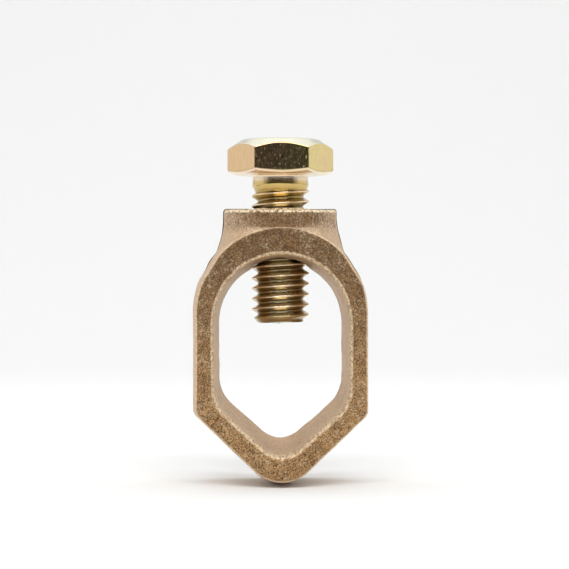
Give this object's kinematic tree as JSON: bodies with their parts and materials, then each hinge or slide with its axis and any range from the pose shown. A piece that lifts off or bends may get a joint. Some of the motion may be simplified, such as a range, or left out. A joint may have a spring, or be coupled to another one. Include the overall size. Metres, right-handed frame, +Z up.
{
  "type": "earth rod clamp",
  "caption": "Cast ring clamp with a V seat for a ground rod and a tapped boss, closed on the rod by a hexagon-head screw.",
  "frame": {"origin": "middle of the foot that the clamp stands on, under the point of the V", "axes": "+Z up along the screw axis, from the V seat to the screw head; the opening for the rod runs along Y"},
  "size_m": [0.024, 0.016, 0.0472],
  "materials": {
    "cast_bronze": "sand-cast bronze, matt with brighter rubbed edges",
    "yellow_zinc_steel": "yellow-chromate zinc plating, glossy with a faint iridescence"
  },
  "bodies": {
    "casting": {"clamp_body": "cast_bronze"},
    "screw": {"clamp_screw": "yellow_zinc_steel"}
  },
  "joints": [
    {"name": "screw_travel", "type": "slide", "parent": "casting", "child": "screw", "axis": [0, 0, 1], "range_m": [-0.0046, 0.008]}
  ]
}
